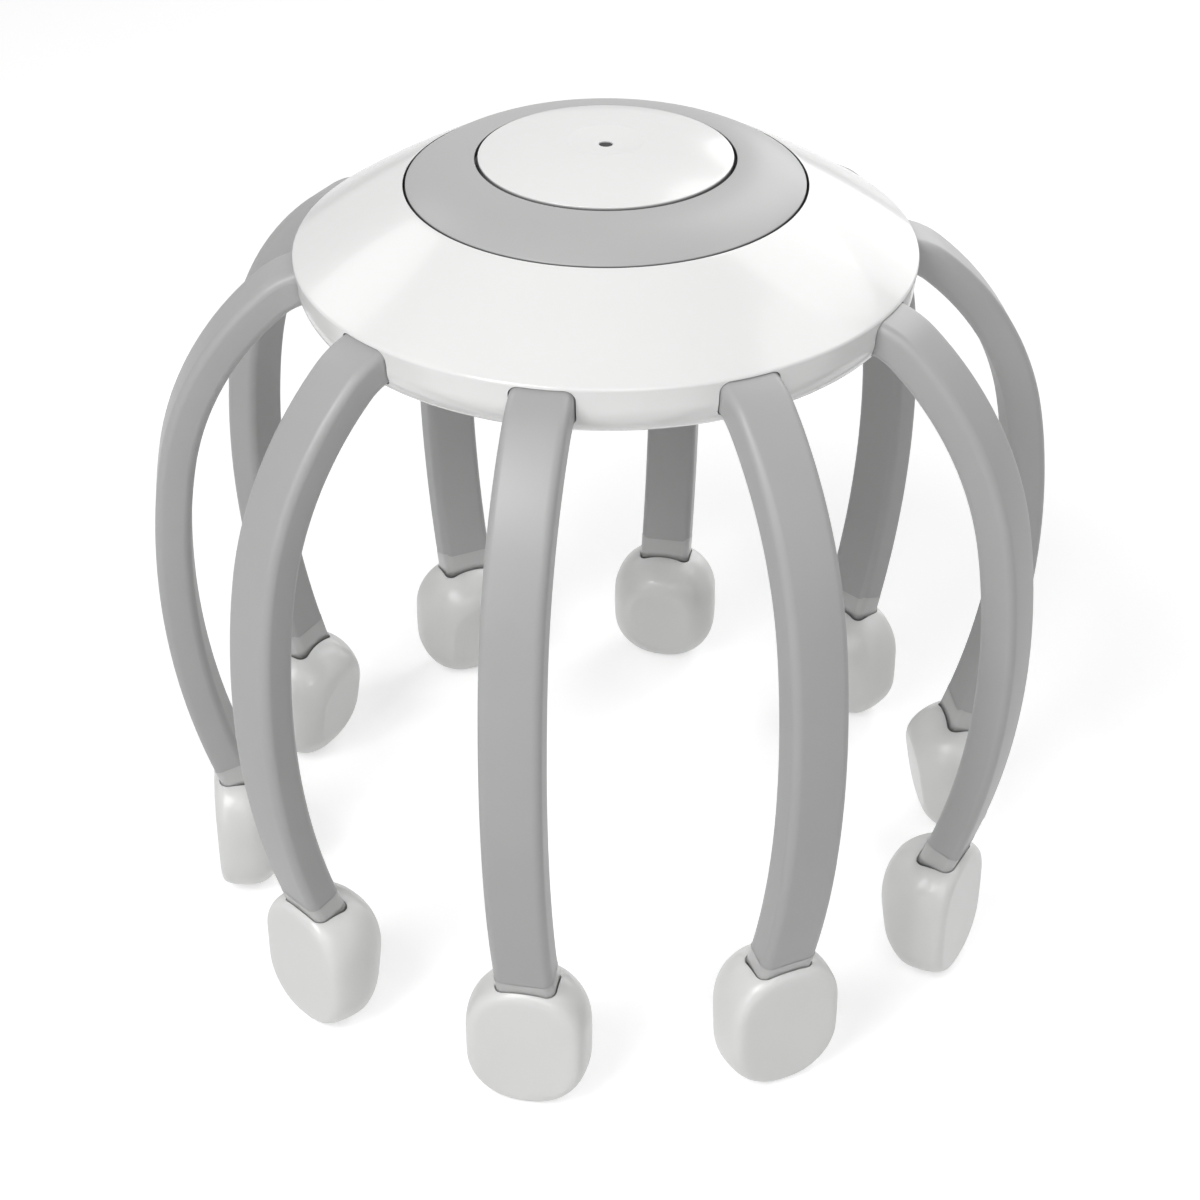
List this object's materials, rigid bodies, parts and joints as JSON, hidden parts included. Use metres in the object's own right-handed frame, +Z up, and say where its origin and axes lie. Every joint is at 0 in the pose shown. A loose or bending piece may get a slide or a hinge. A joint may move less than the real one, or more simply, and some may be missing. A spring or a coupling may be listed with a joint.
{
  "type": "scalp massager",
  "caption": "Battery scalp massager: a white dome with a push button and a trim ring, curved flexible arms hanging from its rim in a cage, each ending in a soft pad.",
  "frame": {"origin": "on the floor under the dome's axis, in the middle of the ring of pads", "axes": "+Z up along the dome's axis; +X along the first arm; +Y towards the charging port"},
  "size_m": [0.1826, 0.176, 0.1675],
  "materials": {
    "shell_white": "gloss white ABS",
    "cap_white": "gloss white ABS",
    "trim_grey": "satin mid grey",
    "arm_grey": "satin grey elastomer over a spring strip",
    "pad_silicone": "milky white silicone, soft sheen",
    "inner_plastic": "plain moulded",
    "smoked_lens": "smoked light pipe",
    "switch_black": "moulded black",
    "spring_steel": "spring steel",
    "board_green": "solder mask green",
    "led_clear": "clear lens",
    "bare_steel": "bare drawn steel",
    "weight_metal": "sintered heavy metal",
    "cell_wrap": "foil pouch",
    "foam": "closed cell foam",
    "screw_steel": "zinc plated",
    "wire_sleeve": "soft sleeve"
  },
  "bodies": {
    "housing": {"arm_keepers": "inner_plastic", "battery": "cell_wrap", "battery_leads": "wire_sleeve", "battery_pad": "foam", "board_screws": "screw_steel", "bottom_cover": "shell_white", "button_return_spring": "spring_steel", "charge_board": "board_green", "charge_leads": "wire_sleeve", "circuit_board": "board_green", "clip_screws": "screw_steel", "cover_screws": "screw_steel", "keeper_screws": "screw_steel", "main_shell": "shell_white", "motor_can": "bare_steel", "motor_clip": "inner_plastic", "motor_leads": "wire_sleeve", "status_led": "led_clear", "tact_switch": "switch_black", "trim_ring": "trim_grey", "usb_socket": "bare_steel"},
    "power_button": {"button_cap": "cap_white", "button_light_pipe": "smoked_lens", "switch_plunger": "switch_black"},
    "motor_rotor": {"motor_shaft": "bare_steel", "eccentric_weight": "weight_metal"},
    "arm_01_body": {"arm_01": "arm_grey", "arm_core_01": "spring_steel", "arm_pad_01": "pad_silicone"},
    "arm_02_body": {"arm_02": "arm_grey", "arm_core_02": "spring_steel", "arm_pad_02": "pad_silicone"},
    "arm_03_body": {"arm_03": "arm_grey", "arm_core_03": "spring_steel", "arm_pad_03": "pad_silicone"},
    "arm_04_body": {"arm_04": "arm_grey", "arm_core_04": "spring_steel", "arm_pad_04": "pad_silicone"},
    "arm_05_body": {"arm_05": "arm_grey", "arm_core_05": "spring_steel", "arm_pad_05": "pad_silicone"},
    "arm_06_body": {"arm_06": "arm_grey", "arm_core_06": "spring_steel", "arm_pad_06": "pad_silicone"},
    "arm_07_body": {"arm_07": "arm_grey", "arm_core_07": "spring_steel", "arm_pad_07": "pad_silicone"},
    "arm_08_body": {"arm_08": "arm_grey", "arm_core_08": "spring_steel", "arm_pad_08": "pad_silicone"},
    "arm_09_body": {"arm_09": "arm_grey", "arm_core_09": "spring_steel", "arm_pad_09": "pad_silicone"},
    "arm_10_body": {"arm_10": "arm_grey", "arm_core_10": "spring_steel", "arm_pad_10": "pad_silicone"}
  },
  "joints": [
    {"name": "button_press", "type": "slide", "parent": "housing", "child": "power_button", "axis": [0, 0, -1], "range_m": [0, 0.0008], "stiffness_N_per_m": 1500, "springref_m": -0.001, "deforming": ["button_return_spring"]},
    {"name": "rotor_spin", "type": "hinge", "parent": "housing", "child": "motor_rotor", "pos_m": [-0.00719, -0.02691, 0.143], "axis": [0.809, -0.5878, 0], "continuous": true},
    {"name": "arm_01_flex", "type": "hinge", "parent": "housing", "child": "arm_01_body", "pos_m": [0.0572, 0, 0.1425], "axis": [0, -1, 0], "range_deg": [-2, 7], "stiffness_Nm_per_rad": 1.2},
    {"name": "arm_02_flex", "type": "hinge", "parent": "housing", "child": "arm_02_body", "pos_m": [0.04628, 0.03362, 0.1425], "axis": [0.5878, -0.809, 0], "range_deg": [-2, 7], "stiffness_Nm_per_rad": 1.2},
    {"name": "arm_03_flex", "type": "hinge", "parent": "housing", "child": "arm_03_body", "pos_m": [0.01768, 0.0544, 0.1425], "axis": [0.9511, -0.309, 0], "range_deg": [-2, 7], "stiffness_Nm_per_rad": 1.2},
    {"name": "arm_04_flex", "type": "hinge", "parent": "housing", "child": "arm_04_body", "pos_m": [-0.01768, 0.0544, 0.1425], "axis": [0.9511, 0.309, 0], "range_deg": [-2, 7], "stiffness_Nm_per_rad": 1.2},
    {"name": "arm_05_flex", "type": "hinge", "parent": "housing", "child": "arm_05_body", "pos_m": [-0.04628, 0.03362, 0.1425], "axis": [0.5878, 0.809, 0], "range_deg": [-2, 7], "stiffness_Nm_per_rad": 1.2},
    {"name": "arm_06_flex", "type": "hinge", "parent": "housing", "child": "arm_06_body", "pos_m": [-0.0572, 0, 0.1425], "axis": [0, 1, 0], "range_deg": [-2, 7], "stiffness_Nm_per_rad": 1.2},
    {"name": "arm_07_flex", "type": "hinge", "parent": "housing", "child": "arm_07_body", "pos_m": [-0.04628, -0.03362, 0.1425], "axis": [-0.5878, 0.809, 0], "range_deg": [-2, 7], "stiffness_Nm_per_rad": 1.2},
    {"name": "arm_08_flex", "type": "hinge", "parent": "housing", "child": "arm_08_body", "pos_m": [-0.01768, -0.0544, 0.1425], "axis": [-0.9511, 0.309, 0], "range_deg": [-2, 7], "stiffness_Nm_per_rad": 1.2},
    {"name": "arm_09_flex", "type": "hinge", "parent": "housing", "child": "arm_09_body", "pos_m": [0.01768, -0.0544, 0.1425], "axis": [-0.9511, -0.309, 0], "range_deg": [-2, 7], "stiffness_Nm_per_rad": 1.2},
    {"name": "arm_10_flex", "type": "hinge", "parent": "housing", "child": "arm_10_body", "pos_m": [0.04628, -0.03362, 0.1425], "axis": [-0.5878, -0.809, 0], "range_deg": [-2, 7], "stiffness_Nm_per_rad": 1.2}
  ]
}
